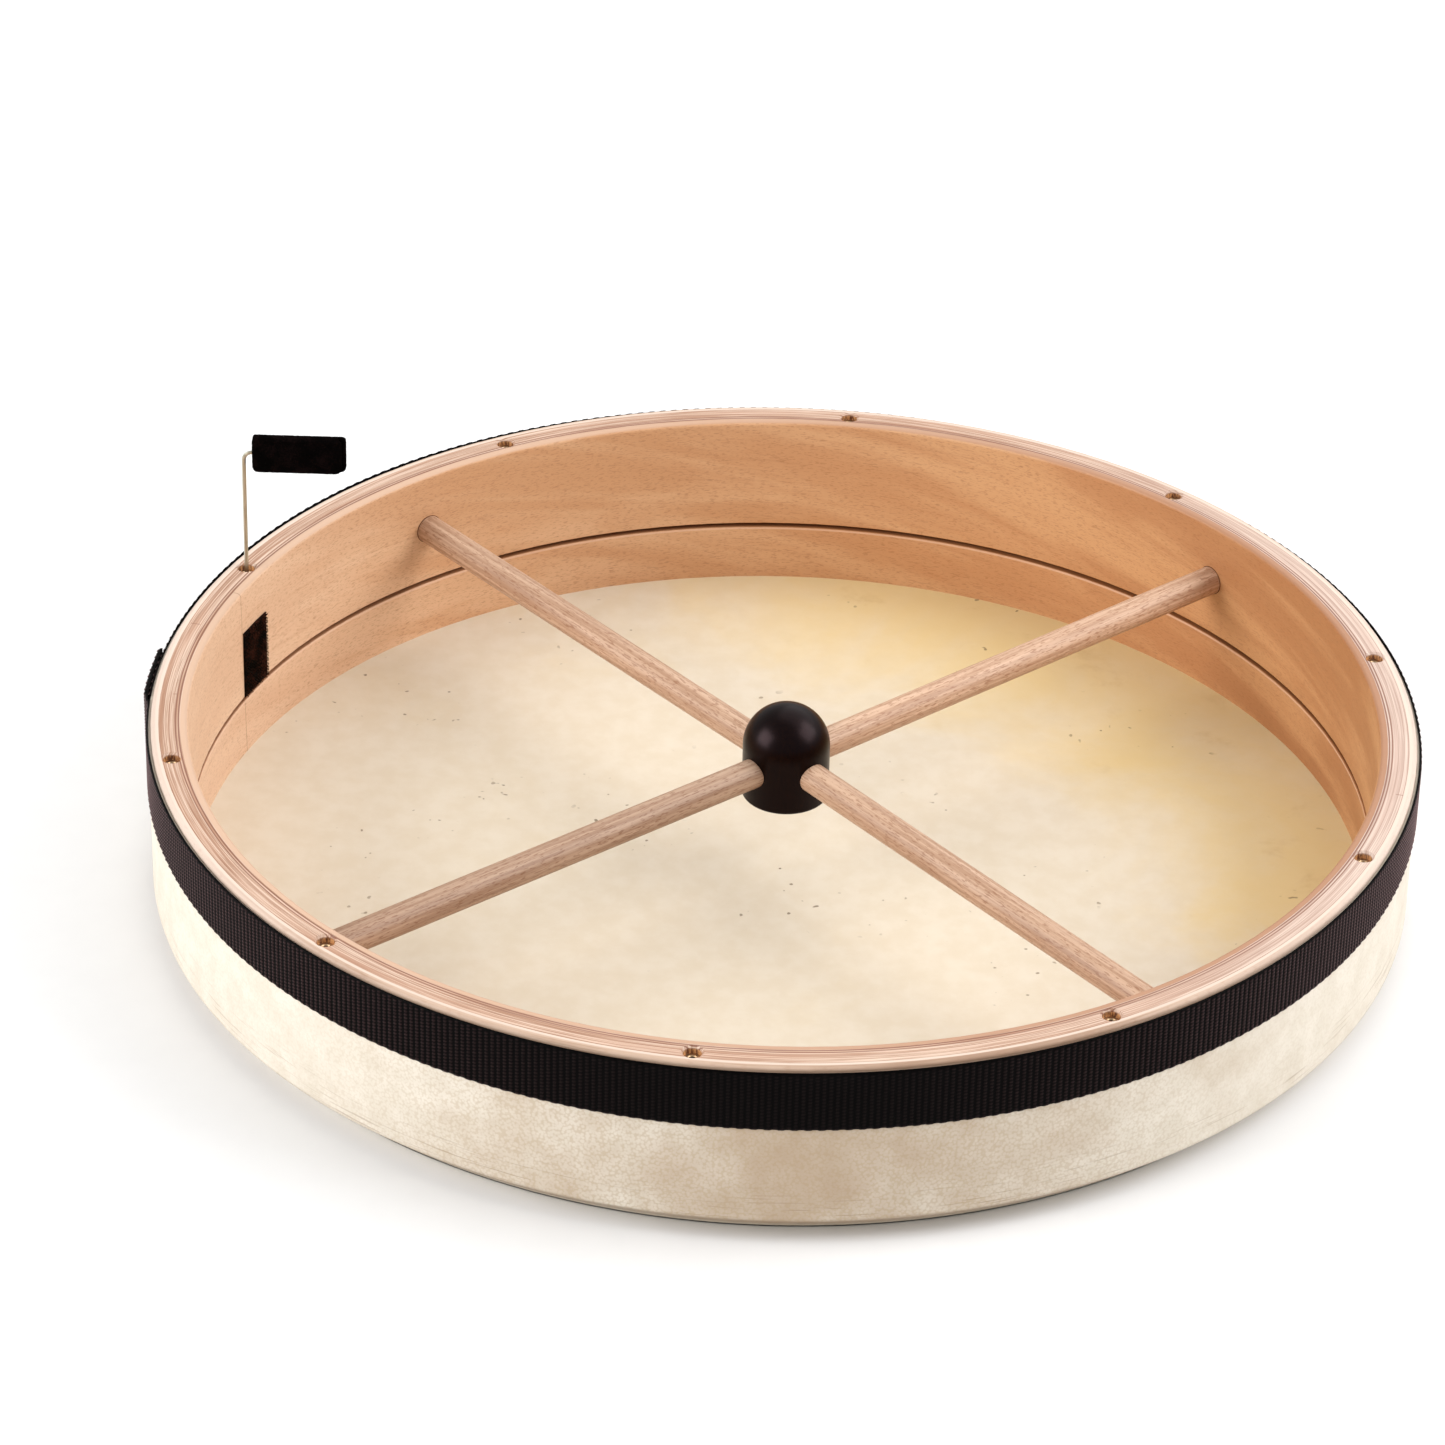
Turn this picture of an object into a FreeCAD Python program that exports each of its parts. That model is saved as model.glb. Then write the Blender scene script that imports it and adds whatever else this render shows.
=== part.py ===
import FreeCAD, Part
import math
import os

from FreeCAD import Vector

# A tunable frame drum that lies on its playing face with the open back up.
# Millimetres, +Z up. The origin is on the drum's axis, on the outer side of the hide.
# Right is +X, and the far side of the drum is +Y. Angles run anticlockwise from +X, in degrees.

# Whole drum
RIM_HEIGHT = 77.5
SHELL_RADIUS = 250.0
SHELL_THICKNESS = 3.1
SHELL_BOTTOM = 10.5
HIDE_THICKNESS = 1.0

# Bent hoops inside the shell, from the core out
LINING_INNER_RADIUS = 235.3
LINING_OUTER_RADIUS = 238.4
FIXED_HOOP_BOTTOM = 27.45
RING_TOP = 25.75
RING_BOTTOM = HIDE_THICKNESS
RING_SIDE_GAP = 0.4
RING_BEVEL_START = 239.6

# Rounded edges
SHELL_EDGE_ROUNDING = 1.7
SHELL_FOOT_ROUNDING = 0.5
RIM_INNER_ROUNDING = 1.7
KERF_ROUNDING = 0.7
BEARING_EDGE_ROUNDING = 2.5
RING_SHOULDER_ROUNDING = 1.0

# Hide on the outside of the shell, and the webbing over its edge
HIDE_TOP = 75.0
SKIRT_TOE_RADIUS = 246.95
WEBBING_THICKNESS = 0.9
WEBBING_WIDTH = 25.0
WEBBING_TOP = 76.0
WEBBING_ROUNDING = 0.3
LAP_START = 172.4
LAP_END = 179.4
LAP_THICKNESS = 1.0

# Hook strip on the lining, for parking the key
PATCH_START = 156.1
PATCH_END = 161.0
PATCH_THICKNESS = 1.5
PATCH_BOTTOM = 27.6
PATCH_TOP = 57.9

# Cross of dowels and their hub
HUB_X = 1.1
HUB_Y = 1.0
HUB_RADIUS = 17.4
HUB_TOP = 76.6
HUB_HEIGHT = 40.0
HUB_FOOT_ROUNDING = 1.5
SPOKE_RADIUS = 6.0
SPOKE_DROP = 25.5
SPOKE_INNER_END = 7.6
SPOKE_OUTER_RADIUS = 244.5
SPOKE_ANGLES = {
    "spoke_back_right": 41.0,
    "spoke_back_left": 131.0,
    "spoke_front_left": 220.3,
    "spoke_front_right": 309.9,
}

# Ten tuning points on one circle: M3 screws with a 1.5 mm hexagon socket
TUNER_COUNT = 10
TUNER_CIRCLE_RADIUS = 243.0
FIRST_TUNER_ANGLE = 120.3
TUNER_DRILLED_OFF = {6: -1.3, 7: -1.8}
COUNTERSINK_RADIUS = 4.3
RECESS_RADIUS = 3.5
RECESS_DEPTH = 3.0
INSERT_RADIUS = 3.2
INSERT_LENGTH = 12.0
INSERT_CHAMFER = 0.4
SCREW_RADIUS = 1.5
SCREW_CLEARANCE = 0.05
SCREW_BORE_RADIUS = 1.9
SCREW_BELOW_INSERT_TOP = 2.4
SCREW_CHAMFER = 0.3
SOCKET_DEPTH = 2.0
SOCKET_ACROSS_FLATS = 1.56
PLATE_RADIUS = 3.0
PLATE_THICKNESS = 1.5

# Hexagon key that stands in the last tuning point
KEY_ACROSS_FLATS = 1.5
KEY_ARM_HEIGHT = 53.7
KEY_BEND_RADIUS = 3.5
KEY_ARM_LENGTH = 18.0
GRIP_START = 3.6
GRIP_LENGTH = 38.0
GRIP_HEIGHT = 16.2
GRIP_THICKNESS = 4.5
GRIP_CORNER_ROUNDING = 2.5

# Values that follow from the dimensions above
SHELL_INNER_RADIUS = SHELL_RADIUS - SHELL_THICKNESS
RING_OUTER_RADIUS = SHELL_INNER_RADIUS - RING_SIDE_GAP
HIDE_RADIUS = SHELL_RADIUS + HIDE_THICKNESS
WEBBING_RADIUS = HIDE_RADIUS + WEBBING_THICKNESS
WEBBING_BOTTOM = WEBBING_TOP - WEBBING_WIDTH
INSERT_TOP = RIM_HEIGHT - RECESS_DEPTH
SCREW_TOP = INSERT_TOP - SCREW_BELOW_INSERT_TOP
SPOKE_HEIGHT = RIM_HEIGHT - SPOKE_DROP
KEY_FOOT = SCREW_TOP - SOCKET_DEPTH
Z_AXIS = Vector(0, 0, 1)
MARGIN = 1.0

# The hide rises from the flat over the ring's bevel to the shell's foot
HIDE_RISE = (SHELL_BOTTOM - RING_BOTTOM) / (SHELL_RADIUS - RING_BEVEL_START)
HIDE_SLOPE = math.atan(HIDE_RISE)
HIDE_DEPTH_ON_SLOPE = HIDE_THICKNESS / math.cos(HIDE_SLOPE)


def polar(radius, degrees, height=0.0):
    """Point at a radius and an angle from the drum's axis."""
    turn = math.radians(degrees)
    return Vector(radius * math.cos(turn), radius * math.sin(turn), height)


def bevel_height(radius):
    """Height of the ring's bevel, and of the hide's inner side that lies on it."""
    return RING_BOTTOM + (radius - RING_BEVEL_START) * HIDE_RISE


def corner_arc(before, corner, after, rounding):
    """Start, middle and end of the arc that rounds one corner of a section."""
    to_before = (before - corner).normalize()
    to_after = (after - corner).normalize()
    half_angle = to_before.getAngle(to_after) / 2
    inward = (to_before + to_after).normalize()
    setback = rounding / math.tan(half_angle)
    centre = corner + inward * (rounding / math.sin(half_angle))
    return corner + to_before * setback, centre - inward * rounding, corner + to_after * setback


def section_face(corners):
    """Face in the XZ plane from (radius, height, rounding) corners, where rounding may be left out."""
    points = [Vector(corner[0], 0, corner[1]) for corner in corners]
    roundings = [corner[2] if len(corner) > 2 else 0.0 for corner in corners]
    count = len(points)
    edges = []
    ends = []
    for index, point in enumerate(points):
        if roundings[index] > 0:
            after = points[(index + 1) % count]
            start, middle, end = corner_arc(points[index - 1], point, after, roundings[index])
            edges.append(Part.Arc(start, middle, end).toShape())
            ends.append((start, end))
        else:
            ends.append((point, point))
    for index in range(count):
        leave = ends[index][1]
        arrive = ends[(index + 1) % count][0]
        edges.append(Part.makeLine(leave, arrive))
    return Part.Face(Part.Wire(Part.__sortEdges__(edges)))


def turned(corners, sweep=360.0, start=0.0):
    """Solid that a section makes when it turns about the drum's axis."""
    solid = section_face(corners).revolve(Vector(0, 0, 0), Z_AXIS, sweep)
    solid.rotate(Vector(0, 0, 0), Z_AXIS, start)
    return solid


def tuner_angle(index):
    """Tuning points run clockwise, as seen from above; two are drilled a little off their even places."""
    return FIRST_TUNER_ANGLE - index * 360.0 / TUNER_COUNT + TUNER_DRILLED_OFF.get(index, 0.0)


def at_tuner(shape, index):
    """Copy of a shape made on the drum's axis, moved to one tuning point."""
    copy = shape.copy()
    copy.translate(polar(TUNER_CIRCLE_RADIUS, tuner_angle(index)))
    return copy


def at_all_tuners(shape):
    return [at_tuner(shape, index) for index in range(TUNER_COUNT)]


def hexagon_wire(across_flats, height):
    """Level hexagon on the drum's axis."""
    radius = across_flats / math.sqrt(3)
    corners = [polar(radius, 60 * step, height) for step in range(7)]
    return Part.makePolygon(corners)


def hexagon_bar(across_flats, bottom, top):
    return Part.Face(hexagon_wire(across_flats, bottom)).extrude(Vector(0, 0, top - bottom))


def tuning_hole(index):
    """Stepped hole through the fixed hoop: countersink, recess, insert seat and screw bore."""
    flare = COUNTERSINK_RADIUS - RECESS_RADIUS
    hole = turned([
        (0, RIM_HEIGHT + MARGIN),
        (COUNTERSINK_RADIUS, RIM_HEIGHT + MARGIN),
        (COUNTERSINK_RADIUS, RIM_HEIGHT),
        (RECESS_RADIUS, RIM_HEIGHT - flare),
        (RECESS_RADIUS, INSERT_TOP),
        (INSERT_RADIUS, INSERT_TOP),
        (INSERT_RADIUS, INSERT_TOP - INSERT_LENGTH),
        (SCREW_BORE_RADIUS, INSERT_TOP - INSERT_LENGTH),
        (SCREW_BORE_RADIUS, FIXED_HOOP_BOTTOM - MARGIN),
        (0, FIXED_HOOP_BOTTOM - MARGIN),
    ], start=tuner_angle(index))
    return at_tuner(hole, index)


def spoke(degrees):
    """Dowel from its socket in the hub to the end of its socket in the fixed hoop."""
    hub_centre = Vector(HUB_X, HUB_Y, 0)
    direction = polar(1.0, degrees)
    along = hub_centre.dot(direction)
    reach = math.sqrt(along ** 2 + SPOKE_OUTER_RADIUS ** 2 - hub_centre.Length ** 2) - along
    start = hub_centre + direction * SPOKE_INNER_END
    start.z = SPOKE_HEIGHT
    return Part.makeCylinder(SPOKE_RADIUS, reach - SPOKE_INNER_END, start, direction)


def outer_shell(holes):
    """Thin full-height hoop that the hide is glued to."""
    hoop = turned([
        (SHELL_INNER_RADIUS, SHELL_BOTTOM),
        (SHELL_RADIUS, SHELL_BOTTOM, SHELL_FOOT_ROUNDING),
        (SHELL_RADIUS, RIM_HEIGHT, SHELL_EDGE_ROUNDING),
        (SHELL_INNER_RADIUS, RIM_HEIGHT),
    ])
    return hoop.cut(holes)


def fixed_hoop(holes, spokes):
    """Plywood hoop glued into the top of the shell."""
    hoop = turned([
        (LINING_OUTER_RADIUS, FIXED_HOOP_BOTTOM),
        (SHELL_INNER_RADIUS, FIXED_HOOP_BOTTOM),
        (SHELL_INNER_RADIUS, RIM_HEIGHT),
        (LINING_OUTER_RADIUS, RIM_HEIGHT),
    ])
    return hoop.cut(holes + spokes)


def hoop_lining(spokes):
    """Inner layer of the fixed hoop, rounded at the rim."""
    lining = turned([
        (LINING_INNER_RADIUS, FIXED_HOOP_BOTTOM, KERF_ROUNDING),
        (LINING_OUTER_RADIUS, FIXED_HOOP_BOTTOM),
        (LINING_OUTER_RADIUS, RIM_HEIGHT),
        (LINING_INNER_RADIUS, RIM_HEIGHT, RIM_INNER_ROUNDING),
    ])
    return lining.cut(spokes)


def tuning_ring(plates):
    """Lower hoop that slides inside the shell and stretches the hide."""
    ring = turned([
        (LINING_OUTER_RADIUS, RING_BOTTOM),
        (RING_BEVEL_START, RING_BOTTOM, BEARING_EDGE_ROUNDING),
        (RING_OUTER_RADIUS, bevel_height(RING_OUTER_RADIUS), RING_SHOULDER_ROUNDING),
        (RING_OUTER_RADIUS, RING_TOP, KERF_ROUNDING),
        (LINING_OUTER_RADIUS, RING_TOP),
    ])
    return ring.cut(plates)


def ring_lining():
    """Inner layer of the tuning ring, level with the lining above it."""
    return turned([
        (LINING_INNER_RADIUS, RING_BOTTOM),
        (LINING_OUTER_RADIUS, RING_BOTTOM),
        (LINING_OUTER_RADIUS, RING_TOP),
        (LINING_INNER_RADIUS, RING_TOP, KERF_ROUNDING),
    ])


def drumhead():
    """Playing face of the hide, with its bend round the ring's bearing edge."""
    corner = RING_BEVEL_START + HIDE_THICKNESS * math.tan(HIDE_SLOPE / 2)
    end_height = bevel_height(RING_OUTER_RADIUS)
    return turned([
        (0, 0),
        (corner, 0, BEARING_EDGE_ROUNDING + HIDE_THICKNESS),
        (RING_OUTER_RADIUS, end_height - HIDE_DEPTH_ON_SLOPE),
        (RING_OUTER_RADIUS, end_height),
        (RING_BEVEL_START, RING_BOTTOM, BEARING_EDGE_ROUNDING),
        (0, RING_BOTTOM),
    ])


def drumhead_skirt():
    """The same hide where it is glued up the shell, ending just outside the ring."""
    toe_height = bevel_height(SKIRT_TOE_RADIUS)
    crease_height = bevel_height(HIDE_RADIUS) - HIDE_DEPTH_ON_SLOPE
    return turned([
        (SHELL_RADIUS, HIDE_TOP),
        (SHELL_RADIUS, SHELL_BOTTOM, SHELL_FOOT_ROUNDING),
        (SKIRT_TOE_RADIUS, toe_height),
        (SKIRT_TOE_RADIUS, toe_height - HIDE_DEPTH_ON_SLOPE),
        (HIDE_RADIUS, crease_height, SHELL_FOOT_ROUNDING + HIDE_THICKNESS),
        (HIDE_RADIUS, HIDE_TOP),
    ])


def webbing_band():
    """Woven band over the hide's glued edge."""
    return turned([
        (HIDE_RADIUS, WEBBING_BOTTOM),
        (WEBBING_RADIUS, WEBBING_BOTTOM, WEBBING_ROUNDING),
        (WEBBING_RADIUS, WEBBING_TOP, WEBBING_ROUNDING),
        (HIDE_RADIUS, WEBBING_TOP),
    ])


def webbing_lap():
    """Last stretch of the webbing, which lies over its beginning."""
    outside = WEBBING_RADIUS + LAP_THICKNESS
    return turned([
        (WEBBING_RADIUS, WEBBING_BOTTOM),
        (outside, WEBBING_BOTTOM, WEBBING_ROUNDING),
        (outside, WEBBING_TOP, WEBBING_ROUNDING),
        (WEBBING_RADIUS, WEBBING_TOP),
    ], LAP_END - LAP_START, LAP_START)


def hook_patch():
    """Hook strip glued to the lining."""
    inside = LINING_INNER_RADIUS - PATCH_THICKNESS
    return turned([
        (inside, PATCH_BOTTOM),
        (LINING_INNER_RADIUS, PATCH_BOTTOM),
        (LINING_INNER_RADIUS, PATCH_TOP),
        (inside, PATCH_TOP),
    ], PATCH_END - PATCH_START, PATCH_START)


def hub(spokes):
    """Turned hub with a domed top, about level with the rim, and four sockets."""
    bottom = HUB_TOP - HUB_HEIGHT
    dome_height = HUB_TOP - HUB_RADIUS
    barrel = turned([
        (0, bottom),
        (HUB_RADIUS, bottom, HUB_FOOT_ROUNDING),
        (HUB_RADIUS, dome_height),
        (0, dome_height),
    ])
    dome = Part.makeSphere(HUB_RADIUS, Vector(0, 0, dome_height), Z_AXIS, 0, 90, 360)
    body = barrel.fuse(dome).removeSplitter()
    body.translate(Vector(HUB_X, HUB_Y, 0))
    return body.cut(spokes)


def threaded_insert():
    """Metal insert with its screw bore, on the drum's axis."""
    bore = SCREW_RADIUS + SCREW_CLEARANCE
    bottom = INSERT_TOP - INSERT_LENGTH
    return turned([
        (bore, bottom),
        (INSERT_RADIUS, bottom),
        (INSERT_RADIUS, INSERT_TOP),
        (bore + INSERT_CHAMFER, INSERT_TOP),
        (bore, INSERT_TOP - INSERT_CHAMFER),
    ])


def tuning_screw():
    """Socket set screw from inside the insert down to its pressure plate, on the drum's axis."""
    body = turned([
        (0, RING_TOP),
        (SCREW_RADIUS - SCREW_CHAMFER, RING_TOP),
        (SCREW_RADIUS, RING_TOP + SCREW_CHAMFER),
        (SCREW_RADIUS, SCREW_TOP - SCREW_CHAMFER),
        (SCREW_RADIUS - SCREW_CHAMFER, SCREW_TOP),
        (0, SCREW_TOP),
    ])
    return body.cut(hexagon_bar(SOCKET_ACROSS_FLATS, KEY_FOOT, SCREW_TOP + MARGIN))


def pressure_plate():
    """Steel disc let into the ring's top, on the drum's axis."""
    return Part.makeCylinder(PLATE_RADIUS, PLATE_THICKNESS, Vector(0, 0, RING_TOP - PLATE_THICKNESS))


def key_shaft():
    """L-shaped hexagon key: upright leg, bend and short arm towards +X, on the drum's axis."""
    arm_height = RIM_HEIGHT + KEY_ARM_HEIGHT
    bend_start = arm_height - KEY_BEND_RADIUS
    leg = hexagon_bar(KEY_ACROSS_FLATS, KEY_FOOT, bend_start)
    top_face = Part.Face(hexagon_wire(KEY_ACROSS_FLATS, bend_start))
    bend = top_face.revolve(Vector(KEY_BEND_RADIUS, 0, bend_start), Vector(0, 1, 0), 90)
    upright = hexagon_bar(KEY_ACROSS_FLATS, 0, KEY_ARM_LENGTH - KEY_BEND_RADIUS)
    upright.rotate(Vector(0, 0, 0), Vector(0, 1, 0), 90)
    upright.translate(Vector(KEY_BEND_RADIUS, 0, arm_height))
    return leg.fuse([bend, upright]).removeSplitter()


def key_grip(shaft):
    """Hook-and-loop strip folded flat round the key's short arm, on the drum's axis."""
    corner = Vector(
        GRIP_START,
        -GRIP_THICKNESS / 2,
        RIM_HEIGHT + KEY_ARM_HEIGHT - GRIP_HEIGHT / 2,
    )
    block = Part.makeBox(GRIP_LENGTH, GRIP_THICKNESS, GRIP_HEIGHT, corner)
    across = [edge for edge in block.Edges if abs(edge.tangentAt(0).y) > 0.5]
    return block.makeFillet(GRIP_CORNER_ROUNDING, across).cut(shaft)


def build_parts():
    """Every sub-part by its node name."""
    spokes = {name: spoke(degrees) for name, degrees in SPOKE_ANGLES.items()}
    spoke_list = list(spokes.values())
    holes = [tuning_hole(index) for index in range(TUNER_COUNT)]
    plates = at_all_tuners(pressure_plate())
    shaft = key_shaft()
    key_place = TUNER_COUNT - 1
    parts = {
        "outer_shell": outer_shell(holes),
        "fixed_hoop": fixed_hoop(holes, spoke_list),
        "hoop_lining": hoop_lining(spoke_list),
        "tuning_ring": tuning_ring(plates),
        "ring_lining": ring_lining(),
        "drumhead": drumhead(),
        "drumhead_skirt": drumhead_skirt(),
        "webbing_band": webbing_band(),
        "webbing_lap": webbing_lap(),
        "hook_patch": hook_patch(),
        "hub": hub(spoke_list),
        "threaded_inserts": Part.makeCompound(at_all_tuners(threaded_insert())),
        "pressure_plates": Part.makeCompound(plates),
        "key_shaft": at_tuner(shaft, key_place),
        "key_grip": at_tuner(key_grip(shaft), key_place),
    }
    parts.update(spokes)
    for index, screw in enumerate(at_all_tuners(tuning_screw())):
        parts[f"tuning_screw_{index + 1:02d}"] = screw
    return parts


os.makedirs("parts", exist_ok=True)
for name, shape in build_parts().items():
    shape.exportStep(f"parts/{name}.step")
    print(f"{name}: {len(shape.Solids)} solid(s), valid {shape.isValid()}, {shape.Volume:.1f} mm3")
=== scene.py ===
import math
import random

import bpy
from mathutils import Matrix, Vector, noise


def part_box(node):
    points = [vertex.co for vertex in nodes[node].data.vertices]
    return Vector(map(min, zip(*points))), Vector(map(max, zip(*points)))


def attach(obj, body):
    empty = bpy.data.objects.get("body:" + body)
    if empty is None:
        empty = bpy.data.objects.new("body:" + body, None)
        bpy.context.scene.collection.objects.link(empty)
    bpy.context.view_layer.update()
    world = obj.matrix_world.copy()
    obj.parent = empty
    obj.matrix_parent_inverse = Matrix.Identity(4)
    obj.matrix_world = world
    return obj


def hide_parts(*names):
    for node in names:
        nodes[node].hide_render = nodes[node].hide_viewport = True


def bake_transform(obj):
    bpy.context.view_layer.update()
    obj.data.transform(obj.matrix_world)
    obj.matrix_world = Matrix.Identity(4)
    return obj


# Looks for a tunable frame drum that lies head down.
# Metres and degrees, +Z up, the drum's axis at X = Y = 0.

# Camera: it looks at the middle of the rim
CAMERA_TILT = 31.297
CAMERA_ROLL = 1.682
CAMERA_DISTANCE = 2.2957
CAMERA_LENS = 144.404
CAMERA_SHIFT = (-0.0431, -0.01118)

# Lights: name, place, size, power
WORLD_STRENGTH = 0.60
SOFTBOXES = (
    ("softbox_left", (-2.25, -0.75, 1.2), (1.7, 1.5), 58.0),
    ("softbox_right", (2.1, -0.1, 1.7), (2.0, 1.7), 54.0),
    ("softbox_back", (0.8, 1.3, 2.1), (3.0, 3.2), 30.0),
)

# Floor, with a shallow pit under the head so that the head has room when the ring goes down
FLOOR_RADIUS = 6.0
PIT_RADIUS = 0.2405
PIT_DEPTH = 0.004

# Hoops and hide. Glue lines: radius, half width, strength. Ply ends: angle, inner and outer radius
LINING_RADIUS = 0.2353
LINING_SEAM = 161.3
LINING_SEAM_LEAN = 0.0318
GLUE_LINES = (
    (0.23900, 0.00032, 0.85),
    (0.24020, 0.00026, 0.80),
    (0.24265, 0.00010, 0.45),
    (0.24490, 0.00010, 0.40),
    (0.24660, 0.00010, 0.45),
)
PLY_ENDS = (
    (168.0, 0.2420, 0.2460),
    (181.0, 0.2405, 0.2420),
    (347.6, 0.2440, 0.2470),
)
PALE_EDGE = (0.2478, 0.2484)
BEVEL_START = 0.2396
BEARING_ROUNDING = 0.0025
FOOT_ROUNDING = 0.0005
HIDE_THICKNESS = 0.001
HIDE_SEGMENTS = 480
HIDE_CENTRE_RADIUS = 0.0004
HIDE_ROUNDING_STEPS = 5
HIDE_FACE_RUN = 0.010
HIDE_SIDE_RUN = 0.0021

# Webbing: ribs lie across the strip, yarns run along it. Waves: start, span, rise
WEBBING_START = 172.4
WEBBING_FOLD_END = 179.9
WEBBING_OVER_END = 180.9
WEBBING_SETTLED = 182.0
WEBBING_END = 540.6
WEBBING_THICKNESS = 0.0009
WEBBING_FOLD_EXTRA = 1.1
WEBBING_RIB = 0.00247
WEBBING_RIB_STEPS = 3
WEBBING_YARNS = 34
WEAVE_RELIEF = 0.00014
RIB_GROOVE = 0.00030
SELVEDGE_STEP = 0.00014
SELVEDGE_SHARE = 0.45
TIP_LIFT = 0.0002
TIP_LENGTH = 2.5
WEBBING_WAVES = (
    (450.0, 86.0, 0.0010),
    (375.0, 70.0, -0.0007),
)

# Hook patch on the lining
PATCH_START = 156.1
PATCH_END = 161.0
PATCH_BASE = 0.0007
HOOK_ROWS = 22
HOOK_COLUMNS = 14
HOOK_HEIGHT = 0.0009
HOOK_HALF_WIRE = 0.00011
FRAYED_THREADS = 70
FRAY_HALF_WIDTH = 0.00020

# Cross of dowels
HUB_PLACE = (0.0011, 0.0010)
SPOKE_RADIUS = 0.006
SPOKE_ANGLES = {
    "spoke_back_right": 41.0,
    "spoke_back_left": 131.0,
    "spoke_front_left": 220.3,
    "spoke_front_right": 309.9,
}
SPOKE_TONES = {
    "spoke_back_right": 1.14,
    "spoke_back_left": 1.0,
    "spoke_front_left": 0.80,
    "spoke_front_right": 1.0,
}

# Key grip: two layers of loop tape with the fold at the top
GRIP_LAYER = 0.0019
GRIP_CORNER = 0.0025
GRIP_FRONT_SHORTER = 0.0018
GRIP_STEP = 0.00032
PILE_HEIGHT = 0.00022
KEY_HALF_WIDTH = 0.00075

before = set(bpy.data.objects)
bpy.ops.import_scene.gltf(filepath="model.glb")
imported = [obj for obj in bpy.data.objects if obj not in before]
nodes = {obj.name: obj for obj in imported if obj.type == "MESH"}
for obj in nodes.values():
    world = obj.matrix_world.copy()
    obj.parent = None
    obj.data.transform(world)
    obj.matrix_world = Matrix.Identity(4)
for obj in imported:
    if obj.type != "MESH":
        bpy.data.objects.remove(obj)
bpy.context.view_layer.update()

RIM_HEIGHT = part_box("outer_shell")[1][2]
SHELL_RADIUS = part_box("outer_shell")[1][0]
SHELL_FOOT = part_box("outer_shell")[0][2]
HIDE_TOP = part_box("drumhead_skirt")[1][2]
HOOP_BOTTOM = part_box("fixed_hoop")[0][2]
RING_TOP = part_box("tuning_ring")[1][2]
SPOKE_HEIGHT = sum(corner[2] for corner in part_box("spoke_back_right")) / 2


# ---------------------------------------------------------------- helpers


def polar(radius, degrees, height=0.0):
    """Point at a radius and an angle from the drum's axis."""
    turn = math.radians(degrees)
    return Vector((radius * math.cos(turn), radius * math.sin(turn), height))


def smooth(low, high, value):
    """0 below low, 1 above high, with a soft step between them."""
    part = min(max((value - low) / (high - low), 0.0), 1.0)
    return part * part * (3 - 2 * part)


def colour(red, green, blue):
    """Linear colour with alpha from display values of 0 to 255."""
    channels = []
    for value in (red, green, blue):
        value = value / 255
        channels.append(value / 12.92 if value <= 0.04045 else ((value + 0.055) / 1.055) ** 2.4)
    return (*channels, 1.0)


def new_piece(name, points, faces, material):
    """Smooth-shaded mesh object in the row frame."""
    mesh = bpy.data.meshes.new(name)
    mesh.from_pydata(points, [], faces)
    mesh.update()
    mesh.shade_smooth()
    mesh.materials.append(material)
    piece = bpy.data.objects.new(name, mesh)
    bpy.context.scene.collection.objects.link(piece)
    return piece


def grid_faces(columns, rows, start=0, closed=False):
    """Quads between columns of vertices that were added one column after another."""
    faces = []
    for column in range(columns if closed else columns - 1):
        here = start + column * rows
        there = start + (column + 1) % columns * rows
        for row in range(rows - 1):
            faces.append((here + row, there + row, there + row + 1, here + row + 1))
    return faces


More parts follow.
